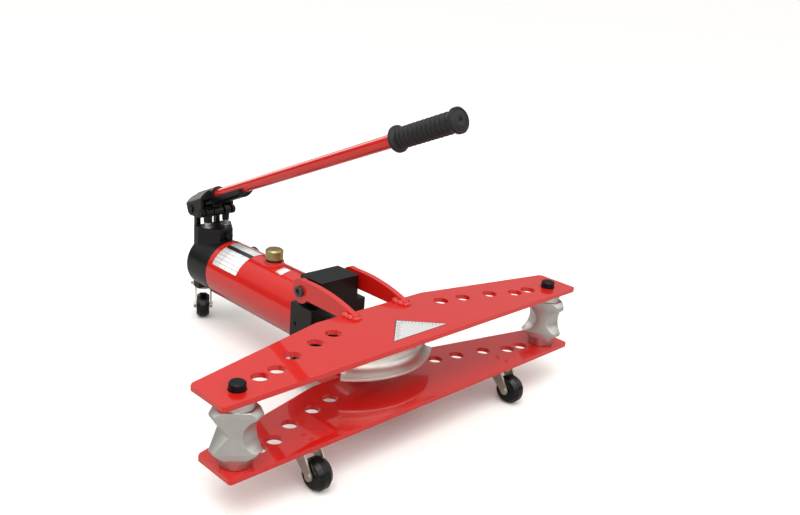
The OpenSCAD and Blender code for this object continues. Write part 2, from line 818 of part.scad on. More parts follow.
// Ribbed grip with a flange at each end and a dimple in its end face
module handle_grip() color(rubber) on_handle() difference() {
    base = handle_reach - grip_len;
    union() {
        along(grip_d / 2 - rib_depth, base, handle_reach);
        along(grip_d / 2 + grip_flange, base, base + grip_flange_w);
        along(grip_d / 2 + grip_flange / 2, handle_reach - grip_flange_w - over, handle_reach - over);
        for (i = [0:ribs - 1])
            along(grip_d / 2, rib_start + i * rib_pitch, rib_start + (i + 0.6) * rib_pitch);
    }
    along(handle_d / 2, base - over, handle_reach - grip_end);
    along(dimple_r, handle_reach - grip_end / 2, handle_reach + over);
}

// Caster in its own frame: swivel at the origin, wheel trailing to -Y
module caster_plate() color(zinc) {
    under = caster_h - top_plate_t;
    king_foot = fork_top - fork_t - king_head;
    difference() {
        translate([-top_half_x, -top_half_y, under]) cube([2 * top_half_x, 2 * top_half_y, top_plate_t]);
        for (sy = [-1, 1]) translate([0, sy * screw_gap, under - over])
            cylinder(r = screw_r, h = top_plate_t + 2 * over);
    }
    translate([0, 0, under - race_h]) cylinder(r = race_r, h = race_h);
    translate([0, 0, king_foot]) cylinder(r = king_r, h = under - king_foot);
    translate([0, 0, king_foot]) cylinder(r = king_head_r, h = king_head - clear);
}

module fork() color(zinc) difference() {
    leg_out = leg_in + leg_t;
    union() {
        translate([0, 0, fork_top - fork_t]) cylinder(r = race_r, h = fork_t);
        both_sides() side(leg_in, leg_t) intersection() {
            strap([0, fork_top - leg_top_drop], [-trail, wheel_r], leg_top_r, leg_low_r);
            translate([-2 * trail, 0]) square([4 * trail, fork_top]);
        }
        translate([-leg_out, -leg_top_r, fork_top - fork_t])
            cube([2 * leg_out, 2 * leg_top_r - 2, fork_t]);
    }
    translate([0, 0, fork_top - fork_t - over]) cylinder(r = king_r + fit, h = fork_t + 2 * over);
    translate([0, -trail, wheel_r]) rod_x(axle_r, -leg_out - over, leg_out + over);
}

module axle() color(zinc) translate([0, -trail, wheel_r]) {
    head = leg_in + leg_t;
    rod_x(axle_r, -head, head);
    both_sides() rod_x(axle_r + ring_t, head, head + ring_t);
}

// Section of a wheel rim's rounded corner, cut away at one end
module rim_corner() polygon([[wheel_r + over, wheel_w / 2 - rim_flat], [wheel_r, wheel_w / 2 - rim_flat],
    [wheel_r - rim_round, wheel_w / 2 - rim_round / 2], [wheel_r - 1.5 * rim_round, wheel_w / 2 + over],
    [wheel_r + over, wheel_w / 2 + over]]);

// Wheel with a crowned tread
module wheel() color(rubber) translate([0, -trail, wheel_r]) rotate([0, 90, 0])
    rotate_extrude() difference() {
        translate([axle_r + fit, -wheel_w / 2]) square([wheel_r - axle_r - fit, wheel_w]);
        rim_corner();
        mirror([0, 1]) rim_corner();
    }

module at_left() translate([-caster_x, swivel_y, 0]) children();
module at_right() translate([caster_x, swivel_y, 0]) children();
module at_rear() translate([0, rear_swivel, 0]) children();
module turned() rotate(rear_turn) children();

module left_caster_plate() at_left() caster_plate();
module left_fork() at_left() fork();
module left_axle() at_left() axle();
module left_wheel() at_left() wheel();
module right_caster_plate() at_right() caster_plate();
module right_fork() at_right() fork();
module right_axle() at_right() axle();
module right_wheel() at_right() wheel();
module rear_caster_plate() at_rear() rotate(90) caster_plate();
module rear_fork() at_rear() turned() fork();
module rear_axle() at_rear() turned() axle();
module rear_wheel() at_rear() turned() wheel();

// The two screw places of a caster
module caster_screw_spots(x, y) for (sy = [-1, 1]) translate([x, y + sy * screw_gap, 0]) children();
module rear_screw_spots() at_rear() rotate(90) caster_screw_spots(0, 0) children();

module caster_screw() {
    translate([0, 0, lower_bot - top_plate_t]) cylinder(r = screw_r, h = plate_t + top_plate_t);
    translate([0, 0, lower_top]) cylinder(r1 = screw_head_r, r2 = screw_head_r - 1, h = screw_head_h);
}

module caster_screws() color(steel) {
    caster_screw_spots(-caster_x, swivel_y) caster_screw();
    caster_screw_spots(caster_x, swivel_y) caster_screw();
    rear_screw_spots() caster_screw();
}

in_frame() lower_plate();
in_frame() upper_plate();
in_frame() left_upper_arm();
in_frame() right_upper_arm();
in_frame() left_lower_arm();
in_frame() right_lower_arm();
in_frame() lower_arm_bolts();
in_frame() pivot_bolts();
in_frame() front_block();
in_frame() set_screws();
in_frame() ram_wiper();
in_frame() reservoir_tube();
in_frame() pressure_cylinder();
in_frame() piston();
in_frame() piston_seal();
in_frame() ram();
in_frame() bending_former();
in_frame() left_roller();
in_frame() right_roller();
in_frame() left_pin();
in_frame() right_pin();
in_frame() filler_boss();
in_frame() filler_cap();
in_frame() filler_washer();
in_frame() pump_body();
in_frame() relief_plug();
in_frame() big_plunger();
in_frame() small_plunger();
in_frame() big_eye();
in_frame() small_eye();
in_frame() big_gland();
in_frame() small_gland();
in_frame() release_spindle();
in_frame() release_knob();
in_frame() fulcrum_bracket();
in_frame() bracket_bolts();
in_frame() fulcrum_pin();
in_frame() plunger_pin();
in_frame() handle_socket();
in_frame() handle_tube();
in_frame() handle_grip();
in_frame() left_caster_plate();
in_frame() left_fork();
in_frame() left_axle();
in_frame() left_wheel();
in_frame() right_caster_plate();
in_frame() right_fork();
in_frame() right_axle();
in_frame() right_wheel();
in_frame() rear_caster_plate();
in_frame() rear_fork();
in_frame() rear_axle();
in_frame() rear_wheel();
in_frame() caster_screws();
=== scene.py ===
"""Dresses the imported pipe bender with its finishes, grip, roller blocks, welds and labels, in a studio."""
import json
import math

import bmesh
import bpy
from bpy.props import FloatProperty, IntProperty, PointerProperty, StringProperty
from mathutils import Matrix, Vector


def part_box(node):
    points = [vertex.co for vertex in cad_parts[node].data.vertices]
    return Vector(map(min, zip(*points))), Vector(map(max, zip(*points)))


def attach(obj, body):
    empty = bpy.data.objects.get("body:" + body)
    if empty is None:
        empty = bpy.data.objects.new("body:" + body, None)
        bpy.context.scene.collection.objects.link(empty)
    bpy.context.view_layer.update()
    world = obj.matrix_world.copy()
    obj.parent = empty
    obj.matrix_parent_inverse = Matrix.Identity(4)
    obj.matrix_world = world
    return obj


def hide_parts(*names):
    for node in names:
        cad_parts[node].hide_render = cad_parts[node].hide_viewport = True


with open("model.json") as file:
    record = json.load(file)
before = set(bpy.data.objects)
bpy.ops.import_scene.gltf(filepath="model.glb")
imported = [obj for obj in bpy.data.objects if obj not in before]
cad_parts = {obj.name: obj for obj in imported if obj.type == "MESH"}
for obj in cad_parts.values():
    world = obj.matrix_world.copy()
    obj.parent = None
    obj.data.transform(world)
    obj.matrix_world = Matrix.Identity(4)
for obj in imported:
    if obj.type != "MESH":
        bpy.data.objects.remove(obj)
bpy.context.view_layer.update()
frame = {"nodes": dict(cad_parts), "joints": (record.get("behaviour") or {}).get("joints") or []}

bl_info = {
    "name": "Hydraulic pipe bender",
    "version": (1, 0, 0),
    "blender": (4, 5, 0),
    "location": "View3D > Sidebar > Pipe bender",
    "description": "Finishes, grip, roller blocks, welds, labels and studio for the hydraulic pipe bender",
    "category": "Object",
}

NODES = frame["nodes"]
MM = 0.001


def joint(name):
    """The record's joint of that name."""
    return next(found for found in frame["joints"] if found["name"] == name)


# The handle's own frame: the fulcrum at its origin, the tube running along -Y
FULCRUM = Vector(joint("handle_rock")["pos_m"])
HANDLE_TILT = math.radians(23.0)
HANDLE = Matrix.Translation(FULCRUM) @ Matrix.Rotation(-HANDLE_TILT, 4, "X")
TUBE_LOW, TUBE_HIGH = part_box("reservoir_tube")
TUBE_RADIUS = (TUBE_HIGH.x - TUBE_LOW.x) / 2
TUBE_MIDDLE = TUBE_LOW.z + TUBE_RADIUS
PLATE_LOW, PLATE_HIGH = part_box("upper_plate")
# Film of glue under a label
GLUE = 0.05 * MM
# Points closer than this are one
TINY = 0.01 * MM
# Edges that turn further than this are sharp ones
SHARP = math.radians(35)


def length(name, description, size):
    """A length that a user may change, with its default in millimetres."""
    return FloatProperty(name=name, description=description, default=size * MM, unit="LENGTH")


def angle(name, description, degrees):
    """An angle that a user may change, with its default in degrees."""
    return FloatProperty(name=name, description=description, default=math.radians(degrees), unit="ROTATION")


def colour(name, description, hex_code):
    """A colour that a user may change, as an sRGB hex value."""
    return StringProperty(name=name, description=description, default=hex_code)


class BenderSizes(bpy.types.PropertyGroup):
    """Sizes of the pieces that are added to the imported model."""
    grip_ribs: IntProperty(name="Grip ribs", description="Ribs on the handle grip", default=11, min=4)
    grip_rise: length("Grip rise", "Height of the handle tube's axis above the fulcrum", 16.0)
    grip_base: length("Grip base", "Distance of the grip's inner end from the fulcrum", 575.0)
    grip_end: length("Grip end", "Distance of the grip's outer end from the fulcrum", 710.0)
    grip_bore: length("Grip bore", "Radius of the grip's bore on the handle tube", 11.05)
    grip_radius: length("Grip radius", "Outer radius of the grip's ribs", 17.0)
    rib_depth: length("Rib depth", "Depth of the hollows between the grip's ribs", 1.9)
    flange_radius: length("Flange radius", "Radius of the flange at the grip's inner end", 21.4)
    roller_face: length("Roller face", "Distance from the pin to a roller block's faces", 25.6)
    roller_nose: length("Roller nose", "Distance from the pin to a roller block's cut corners", 37.2)
    roller_boss: length("Roller boss", "Radius of the bosses of a roller block", 24.6)
    roller_bore: length("Roller bore", "Radius of a roller block's bore on its pin", 11.1)
    roller_low: length("Lower boss", "Height of the boss below a roller block", 16.5)
    roller_high: length("Upper boss", "Height of the boss above a roller block", 14.0)
    left_facing: angle("Left facing", "Direction that the left block's front face looks in", 233)
    right_facing: angle("Right facing", "Direction that the right block's front face looks in", 207)
    weld_radius: length("Weld size", "Radius of a weld bead", 6.2)
    weld_pitch: length("Weld pitch", "Distance between two weld ripples", 4.4)
    weld_run: length("Weld run", "Length of the weld on each side of an arm's tip", 22.0)
    label_thickness: length("Label thickness", "Thickness of the labels", 0.25)
    scale_half: length("Plate label half base", "Half base of the three-cornered label", 60.5)
    scale_tall: length("Plate label height", "Height of the three-cornered label", 58.0)


class BenderColours(bpy.types.PropertyGroup):
    """Colours of the finishes, as sRGB hex values."""
    red: colour("Red", "Enamel of the plates, the arms and the tubes", "#CE170E")
    black: colour("Black", "Paint of the castings", "#0A0A0B")
    steel: colour("Steel", "Machined steel", "#C2C3C6")
    alloy: colour("Aluminium", "Cast aluminium of the roller blocks", "#CDCCCA")
    # The former's colour is paler than the rollers' aluminium: partly its turned finish, partly painted
    # light that makes up for the shade the upper plate casts on it
    turned: colour("Turned aluminium", "Bending former", "#F1EFEC")
    brass: colour("Brass", "Filler cap", "#B4A778")
    grip: colour("Grip", "Rubber of the grip", "#18191A")
    tyre: colour("Tyre", "Rubber of the caster wheels", "#09090A")
    zinc: colour("Zinc", "Plated caster sheet", "#D4CCC0")
    paper: colour("Label ground", "Ground of the labels", "#FAFAF8")
    ink: colour("Label ink", "Print of the labels", "#20262C")
    floor: colour("Floor", "Studio floor", "#FDFDFD")
    bounce: colour("Floor bounce", "Floor as the part's own surfaces see it", "#B8B6B4")


def linear(hex_code):
    """An sRGB hex value as linear RGBA."""
    parts = [int(hex_code[i:i + 2], 16) / 255 for i in (1, 3, 5)]
    return [c / 12.92 if c <= 0.04045 else ((c + 0.055) / 1.055) ** 2.4 for c in parts] + [1.0]


def add(tree, kind, settings=None, **links):
    """Adds a node, sets its properties and inputs, and links its inputs from other sockets."""
    made = tree.nodes.new(kind)
    for key, value in (settings or {}).items():
        if isinstance(key, int) or key in made.inputs:
            made.inputs[key].default_value = value
        else:
            setattr(made, key, value)
    for key, source in links.items():
        target = made.inputs[int(key[1:])] if key[0] == "_" else made.inputs[key]
        tree.links.new(source, target)
    return made


class Finish:
    """A material in the making: its node tree, its shader and Object coordinates."""

    def __init__(self, name, ground, metallic=0.0):
        self.ground = linear(ground)
        self.material = bpy.data.materials.new(name)
        self.material.use_nodes = True
        self.material.diffuse_color = self.ground
        self.tree = self.material.node_tree
        self.shader = self.tree.nodes["Principled BSDF"]
        self.shader.inputs["Metallic"].default_value = metallic
        self.place = add(self.tree, "ShaderNodeTexCoord").outputs["Object"]

    def feed(self, socket, source):
        """Links one of the shader's inputs."""
        self.tree.links.new(source, self.shader.inputs[socket])

    def round_edges(self, radius):
        """Rounds the light on the edges, and masks them for wear."""
        tree = self.tree
        self.rounded = add(tree, "ShaderNodeBevel", {"samples": 4, "Radius": radius}).outputs["Normal"]
        flat = add(tree, "ShaderNodeNewGeometry").outputs["Normal"]
        turn = add(tree, "ShaderNodeVectorMath", {"operation": "DOT_PRODUCT"}, _0=self.rounded, _1=flat)
        spread = {"From Min": 0.995, "From Max": 0.90, "To Min": 0.0, "To Max": 1.0}
        mask = add(tree, "ShaderNodeMapRange", spread, Value=turn.outputs["Value"])
        self.edges = mask.outputs["Result"]

    def wear(self, below, worn, amount):
        """Colours the surface, with some of a worn colour along its edges."""
        some = add(self.tree, "ShaderNodeMath", {"operation": "MULTIPLY", 1: amount}, _0=self.edges)
        settings = {"data_type": "RGBA", 7: linear(worn)}
        rubbed = add(self.tree, "ShaderNodeMix", settings, _0=some.outputs["Value"], _6=below)
        self.feed("Base Color", rubbed.outputs[2])

    def vary(self, shade, worn, size, amount):
        """Mottles the colour over patches of a given size and shifts it along the edges."""
        settings = {"Scale": 1 / size, "Detail": 5.0, "Roughness": 0.6}
        cloud = add(self.tree, "ShaderNodeTexNoise", settings, Vector=self.place).outputs["Fac"]
        settings = {"data_type": "RGBA", 6: self.ground, 7: linear(shade)}
        self.wear(add(self.tree, "ShaderNodeMix", settings, _0=cloud).outputs[2], worn, amount)
        return cloud

    def grain(self, size, height, stretch=(1.0, 1.0, 1.0)):
        """Gives the surface a fine relief of a given grain size and height, on its rounded edges."""
        spread = add(self.tree, "ShaderNodeMapping", {"Scale": stretch}, Vector=self.place).outputs["Vector"]
        settings = {"Scale": 1 / size, "Detail": 3.0}
        speck = add(self.tree, "ShaderNodeTexNoise", settings, Vector=spread).outputs["Fac"]
        settings = {"Strength": 1.0, "Distance": height}
        relief = add(self.tree, "ShaderNodeBump", settings, Height=speck, Normal=self.rounded)
        self.feed("Normal", relief.outputs["Normal"])
        return speck

    def rough(self, source, low, high):
        """Spreads the roughness between two values by a pattern."""
        spread = add(self.tree, "ShaderNodeMapRange", {"To Min": low, "To Max": high}, Value=source)
        self.feed("Roughness", spread.outputs["Result"])


def red_enamel(colours):
    """Gloss enamel on steel: a deep red under a clear shine, faint orange peel, thinner on the edges."""
    paint = Finish("red enamel on steel", colours.red)
    paint.round_edges(1.2 * MM)
    cloud = paint.vary("#C5120C", "#D5382A", 70 * MM, 0.35)
    # Orange peel is about 1.5 mm across, drawn at 4 mm so that it shows
    paint.grain(4 * MM, 0.012 * MM)
    paint.rough(cloud, 0.3, 0.42)
    paint.shader.inputs["Specular IOR Level"].default_value = 0.2
    paint.shader.inputs["Coat Weight"].default_value = 1.0
    paint.shader.inputs["Coat Roughness"].default_value = 0.03
    return paint.material


def painted_screws(colours):
    """Screws painted with what they hold: red through the wing in front, black under the pump behind."""
    paint = Finish("paint on steel screws", colours.red)
    paint.round_edges(0.6 * MM)
    behind = add(paint.tree, "ShaderNodeSeparateXYZ", Vector=paint.place).outputs["Y"]
    black = add(paint.tree, "ShaderNodeMath", {"operation": "GREATER_THAN", 1: 0.0}, _0=behind)
    settings = {"data_type": "RGBA", 6: paint.ground, 7: linear(colours.black)}
    both = add(paint.tree, "ShaderNodeMix", settings, _0=black.outputs["Value"])
    paint.wear(both.outputs[2], "#8A8580", 0.4)
    speck = paint.grain(1.5 * MM, 0.03 * MM)
    paint.rough(speck, 0.28, 0.42)
    return paint.material


def black_casting(colours):
    """Satin black paint over sand-cast iron: dark, slightly pebbled, greyer where edges were rubbed."""
    paint = Finish("black paint on cast iron", colours.black)
    paint.round_edges(1.5 * MM)
    cloud = paint.vary("#101012", "#2C2C2E", 30 * MM, 0.6)
    # Sand grain of a casting, about 1.2 mm, drawn at 2.5 mm
    paint.grain(2.5 * MM, 0.06 * MM)
    paint.rough(cloud, 0.24, 0.36)
    paint.shader.inputs["Specular IOR Level"].default_value = 0.3
    return paint.material


def machined_steel(colours):
    """Turned and ground steel: bright, with fine tool lines that stretch its highlights."""
    steel = Finish("machined steel", colours.steel, 1.0)
    steel.round_edges(0.6 * MM)
    cloud = steel.vary("#A8A9AD", "#E2E3E5", 18 * MM, 0.5)
    steel.grain(1.0 * MM, 0.03 * MM, (1.0, 6.0, 6.0))
    steel.rough(cloud, 0.22, 0.4)
    return steel.material


def oxide_steel(name, dark, pale, worn):
    """Steel with an oxide or phosphate skin: grey to black, a dull metal shine and paler rubbed edges."""
    steel = Finish(name, dark, 0.85)
    steel.round_edges(0.8 * MM)
    cloud = steel.vary(pale, worn, 12 * MM, 0.6)
    steel.grain(1.2 * MM, 0.03 * MM)
    steel.rough(cloud, 0.3, 0.46)
    return steel.material


def cast_aluminium(name, pale, dull, low, high):
    """Cast aluminium, tumbled or turned after: pale silver, cloudy, soft-edged, with a faint pebble."""
    alloy = Finish(name, pale, 1.0)
    alloy.round_edges(2.0 * MM)
    cloud = alloy.vary(dull, "#F0EFED", 22 * MM, 0.6)
    # Pebble left by the mould and the tumbling, about 1.5 mm, drawn at 3 mm
    alloy.grain(3 * MM, 0.10 * MM)
    alloy.rough(cloud, low, high)
    return alloy.material


def yellow_brass(colours):
    """Turned brass gone dull: olive-yellow metal with a soft shine and darker patches."""
    brass = Finish("dull turned brass", colours.brass, 1.0)
    brass.round_edges(1.0 * MM)
    cloud = brass.vary("#978B5E", "#DAD0A4", 9 * MM, 0.6)
    brass.grain(1.2 * MM, 0.03 * MM, (1.0, 1.0, 5.0))
    brass.rough(cloud, 0.3, 0.5)
    return brass.material


def moulded_rubber(name, ground, shade, worn, low, high):
    """Moulded rubber: near black, soft highlights, a fine matt grain and paler rubbed edges."""
    rubber = Finish(name, ground)
    rubber.round_edges(0.8 * MM)
    cloud = rubber.vary(shade, worn, 15 * MM, 0.5)
    # Mould grain is about 0.4 mm, drawn at 1.2 mm
    rubber.grain(1.2 * MM, 0.05 * MM)
    rubber.rough(cloud, low, high)
    rubber.shader.inputs["Specular IOR Level"].default_value = 0.3
    return rubber.material


def zinc_sheet(colours):
    """Zinc-plated pressed sheet: warm grey metal with a faint cloudy spangle."""
    zinc = Finish("zinc plated steel", colours.zinc, 0.9)
    zinc.round_edges(0.8 * MM)
    cloud = zinc.vary("#B2A99E", "#ECE8E0", 8 * MM, 0.6)
    zinc.grain(1.5 * MM, 0.03 * MM)
    zinc.rough(cloud, 0.28, 0.46)
    return zinc.material


def printed_label(colours, name, rows, columns):
    """Printed vinyl: a pale satin ground with thin ruled lines, set by the piece's own UV map."""
    vinyl = Finish(name, colours.paper)
    where = add(vinyl.tree, "ShaderNodeUVMap", {"uv_map": "print"}).outputs["UV"]
    ruled = add(vinyl.tree, "ShaderNodeTexBrick", {
        "offset": 0.0, "squash": 1.0, "Scale": 1.0, "Mortar Size": 0.008, "Mortar Smooth": 0.3,
        "Brick Width": 1.0 / columns, "Row Height": 1.0 / rows,
        "Color1": vinyl.ground, "Color2": linear("#F2F3F1"), "Mortar": linear("#9AA0A6")}, Vector=where)
    vinyl.feed("Base Color", ruled.outputs["Color"])
    speck = add(vinyl.tree, "ShaderNodeTexNoise", {"Scale": 1 / (6 * MM)}, Vector=vinyl.place)
    vinyl.rough(speck.outputs["Fac"], 0.32, 0.48)
    return vinyl.material


def label_ink(colours):
    """Printing ink on vinyl: dark blue-grey, satin, a little uneven."""
    ink = Finish("label ink", colours.ink)
    settings = {"Scale": 1 / (8 * MM), "Detail": 4.0}
    cloud = add(ink.tree, "ShaderNodeTexNoise", settings, Vector=ink.place).outputs["Fac"]
    settings = {"data_type": "RGBA", 6: ink.ground, 7: linear("#2E363D")}
    ink.feed("Base Color", add(ink.tree, "ShaderNodeMix", settings, _0=cloud).outputs[2])
    ink.rough(cloud, 0.3, 0.45)
    return ink.material


def silver_film():
    """Brushed silver film of a label: pale grey, faintly metallic, with fine lines."""
    film = Finish("silver label film", "#E4E6E6", 0.2)
    film.material.diffuse_color = linear("#D5D8D9")
    drawn = add(film.tree, "ShaderNodeMapping", {"Scale": (1.0, 12.0, 1.0)}, Vector=film.place)
    settings = {"Scale": 1 / (6 * MM), "Detail": 4.0}
    lines = add(film.tree, "ShaderNodeTexNoise", settings, Vector=drawn.outputs["Vector"]).outputs["Fac"]
    settings = {"data_type": "RGBA", 6: film.ground, 7: linear("#C6CACC")}
    film.feed("Base Color", add(film.tree, "ShaderNodeMix", settings, _0=lines).outputs[2])
    film.rough(lines, 0.3, 0.5)
    return film.material


def label_materials(colours):
    """The ink and the silver film that the labels share, made when they are first asked for."""
    found = bpy.data.materials.get
    return found("label ink") or label_ink(colours), found("silver label film") or silver_film()


def studio_floor(colours):
    """Matt paper sweep: near white to the eye, faintly mottled, and a softer grey in what it throws back."""
    paper = Finish("matt white paper", colours.floor)
    settings = {"Scale": 1 / (400 * MM), "Detail": 2.0}
    cloud = add(paper.tree, "ShaderNodeTexNoise", settings, Vector=paper.place).outputs["Fac"]
    settings = {"data_type": "RGBA", 6: paper.ground, 7: linear("#FAFAFA")}
    mottled = add(paper.tree, "ShaderNodeMix", settings, _0=cloud).outputs[2]
    seen = add(paper.tree, "ShaderNodeLightPath").outputs["Is Camera Ray"]
    settings = {"data_type": "RGBA", 6: linear(colours.bounce)}
    paper.feed("Base Color", add(paper.tree, "ShaderNodeMix", settings, _0=seen, _7=mottled).outputs[2])
    paper.shader.inputs["Roughness"].default_value = 0.9
    return paper.material


def coat(names, material):
    """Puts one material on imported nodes."""
    for name in names:
        slots = NODES[name].data.materials
        slots.clear()
        slots.append(material)


def settle(name, shape, materials, body, smooth=True):
    """Turns a bmesh into a piece in the shared frame that rides on a body."""
    bmesh.ops.recalc_face_normals(shape, faces=shape.faces)
    mesh = bpy.data.meshes.new(name)
    shape.to_mesh(mesh)
    shape.free()
    for material in materials:
        mesh.materials.append(material)
    for face in mesh.polygons:
        face.use_smooth = smooth
    piece = bpy.data.objects.new(name, mesh)
    bpy.context.scene.collection.objects.link(piece)
    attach(piece, body)
    return piece


class BENDER_OT_finishes(bpy.types.Operator):
    """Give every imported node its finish"""
    bl_idname = "bender.finishes"
    bl_label = "Finishes"

    def execute(self, context):
        colours = context.scene.bender_colours
        oxide = oxide_steel("black oxide steel", "#1C1D1F", "#26282A", "#4A4D50")
        phosphate = oxide_steel("grey phosphated steel", "#585D5F", "#4A4E50", "#8E9294")
        zinc = zinc_sheet(colours)
        tyre = moulded_rubber("moulded wheel rubber", colours.tyre, "#0F0F11", "#242426", 0.16, 0.34)
        seal = moulded_rubber("seal rubber", "#1C1C1D", "#242425", "#3A3A3A", 0.47, 0.65)
        # Paler than the rollers: a turned finish, and painted light against the upper plate's shade over the
        # former
        turned = cast_aluminium("turned cast aluminium with painted light", colours.turned, "#DEDBD7", 0.3, 0.42)
        coat(["lower_plate", "upper_plate", "left_upper_arm", "right_upper_arm", "left_lower_arm",
              "right_lower_arm", "reservoir_tube", "filler_boss", "handle_tube"], red_enamel(colours))
        coat(["front_block", "pump_body", "fulcrum_bracket", "handle_socket", "big_eye", "small_eye",
              "release_knob", "relief_plug"], black_casting(colours))
        coat(["left_pin", "right_pin", "set_screws", "bracket_bolts", "fulcrum_pin", "plunger_pin"], oxide)
        coat(["pivot_bolts", "lower_arm_bolts"], phosphate)
        coat(["caster_screws"], painted_screws(colours))
        coat(["pressure_cylinder", "piston", "ram", "big_plunger", "small_plunger", "big_gland",
              "small_gland", "release_spindle"], machined_steel(colours))
        coat(["bending_former"], turned)
        coat(["filler_cap"], yellow_brass(colours))
        coat(["ram_wiper", "piston_seal", "filler_washer"], seal)
        for side in ("left", "right", "rear"):
            coat([side + "_caster_plate", side + "_fork", side + "_axle"], zinc)
            coat([side + "_wheel"], tyre)
        return {"FINISHED"}


class BENDER_OT_grip(bpy.types.Operator):
    """Model the ribbed rubber grip that stands for the grip's solid"""
    bl_idname = "bender.grip"
    bl_label = "Grip"

    def execute(self, context):
        sizes = context.scene.bender_sizes
        colours = context.scene.bender_colours
        base, end, bore = sizes.grip_base, sizes.grip_end, sizes.grip_bore
        rib, flange = sizes.grip_radius, sizes.flange_radius
        waist = rib - sizes.rib_depth
        rim = flange - 1.6 * MM
        # The bore stops short of the outer end, and plain stretches lie before and after the ribs
        bore_stop, plain_base, plain_end = 9 * MM, 12 * MM, 18 * MM
        # Radius, and millimetres from the inner end: the dished end, the flange and the neck behind it
        inner = ((bore, 3.4), (bore + 3 * MM, 3.2), (flange - 4 * MM, 1.2), (rim, 0.0), (flange, 1.5),
                 (flange, 5.0), (flange - 1.5 * MM, 6.6), (rib, 7.6), (waist, 10.0))
        # Share of a rib's pitch, and of its depth
        swell = ((0.06, 0.1), (0.14, 0.75), (0.26, 1.0), (0.46, 1.0), (0.58, 0.75), (0.68, 0.1), (0.84, 0.0))
        # Radius, and millimetres from the outer end: the knob, the ring in its face and its middle hole
        outer = ((waist, 15.0), (rib, 11.5), (rim - 1 * MM, 9.4), (rim, 8.0), (rim, 3.0),
                 (rim - 1.2 * MM, 1.4), (rim - 3 * MM, 1.2), (rim - 3.6 * MM, 2.4), (rim - 4.4 * MM, 2.4),
                 (rim - 5 * MM, 1.1), (8 * MM, 0.4), (3 * MM, 0.4), (2.6 * MM, 1.2), (2.4 * MM, 4.0),
                 (0.0, 4.0))
        pitch = (end - base - plain_base - plain_end) / sizes.grip_ribs
        outline = [(0.0, end - bore_stop), (bore, end - bore_stop)]
        outline += [(r, base + along * MM) for r, along in inner]
        for i in range(sizes.grip_ribs):
            start = base + plain_base + i * pitch
            outline += [(waist + lift * (rib - waist), start + share * pitch) for share, lift in swell]
        outline += [(r, end - along * MM) for r, along in outer]
        shape = bmesh.new()
        verts = [shape.verts.new((r, -along, sizes.grip_rise)) for r, along in outline]
        edges = [shape.edges.new(pair) for pair in zip(verts, verts[1:])]
        bmesh.ops.spin(shape, geom=verts + edges, cent=(0, 0, sizes.grip_rise), axis=(0, -1, 0),
                       angle=2 * math.pi, steps=56, use_merge=True)
        bmesh.ops.remove_doubles(shape, verts=shape.verts, dist=TINY)
        bmesh.ops.transform(shape, matrix=HANDLE, verts=shape.verts)
        rubber = moulded_rubber("moulded grip rubber", colours.grip, "#262729", "#414244", 0.37, 0.55)
        piece = settle("ribbed_grip", shape, [rubber], "lever")
        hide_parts("handle_grip")
        return {"FINISHED"}


def groove_cut(groove, z):
    """Depth of a pipe groove, a vee or a round one, at a height from its middle."""
    form, half, deep = groove
    if abs(z) >= half:
        return 0.0
    if form == "vee":
        return deep * (1 - abs(z) / half)
    radius = (half ** 2 + deep ** 2) / (2 * deep)
    return math.sqrt(radius ** 2 - z ** 2) - (radius - deep)


def block_row(shape, face, noses, facing, z):
    """Edges of a three-sided block's plan at one height: even faces, each corner cut at its own nose."""
    corners = []
    for i, nose in enumerate(noses):
        # Distance along a face from its middle to the cut
        along = (nose - face / 2) / math.sin(math.radians(60))
        for degrees, way in ((120 * i, 1), (120 * (i + 1), -1)):
            turn = Matrix.Rotation(facing + math.radians(degrees), 3, "Z")
            corners.append(shape.verts.new(turn @ Vector((face, way * along, z))))
    return [shape.edges.new(pair) for pair in zip(corners, corners[1:] + corners[:1])]


def roller_block(sizes, low, high, facing, grooves):
    """A three-sided roller block about the Z axis: coned ends, grooved corners, two bosses and a bore."""
    taper, bevel, steps, apart = 2.5 * MM, 0.9 * MM, 44, 0.6 * MM
    # Radius of the coned ends where they meet the bosses, below and above
    cone_low, cone_high = 29.5 * MM, 31.5 * MM
    foot, top = low + sizes.roller_low, high - sizes.roller_high
    middle = (foot + top) / 2
    vee_half = next(half for form, half, deep in grooves if form == "vee")
    # Rows at the vee's ends, and at even steps that keep apart from those
    heights = [middle - vee_half, middle + vee_half]
    for i in range(steps + 1):
        z = foot + (top - foot) * i / steps
        if min(abs(z - kept) for kept in heights) > apart:
            heights.append(z)
    shape = bmesh.new()
    block = []
    for z in sorted(heights):
        cone = min(cone_low + z - foot, cone_high + top - z)
        # The nose whose cut ends on the cone
        reach = sizes.roller_face / 2 + math.sqrt(0.75 * (cone ** 2 - sizes.roller_face ** 2))
        noses = [min(sizes.roller_nose - groove_cut(groove, z - middle), reach) for groove in grooves]
        block.append(block_row(shape, sizes.roller_face, noses, facing, z))
    for first, second in zip(block, block[1:]):
        bmesh.ops.bridge_loops(shape, edges=first + second)
    # Half section of the bosses and the bore, from the lower shoulder round to the upper one
    section = [shape.verts.new((r, 0, z)) for r, z in (
        (sizes.roller_boss, foot), (sizes.roller_boss - taper, low), (sizes.roller_bore, low),
        (sizes.roller_bore, high), (sizes.roller_boss, high), (sizes.roller_boss, top))]
    edges = [shape.edges.new(pair) for pair in zip(section, section[1:])]
    bmesh.ops.spin(shape, geom=section + edges, cent=(0, 0, 0), axis=(0, 0, 1), angle=2 * math.pi, steps=48,
                   use_merge=True)
    # The open edges at a shoulder's height are its two rims
    for z in (foot, top):
        rims = [edge for edge in shape.edges
                if edge.is_boundary and all(abs(vert.co.z - z) < TINY for vert in edge.verts)]
        bmesh.ops.triangle_fill(shape, edges=rims, use_beauty=True)
    bmesh.ops.recalc_face_normals(shape, faces=shape.faces)
    corners = [edge for edge in shape.edges if edge.calc_face_angle(0.0) > SHARP]
    bmesh.ops.bevel(shape, geom=corners, offset=bevel, affect="EDGES", segments=2, profile=0.5, material=-1,
                    clamp_overlap=True)
    return shape


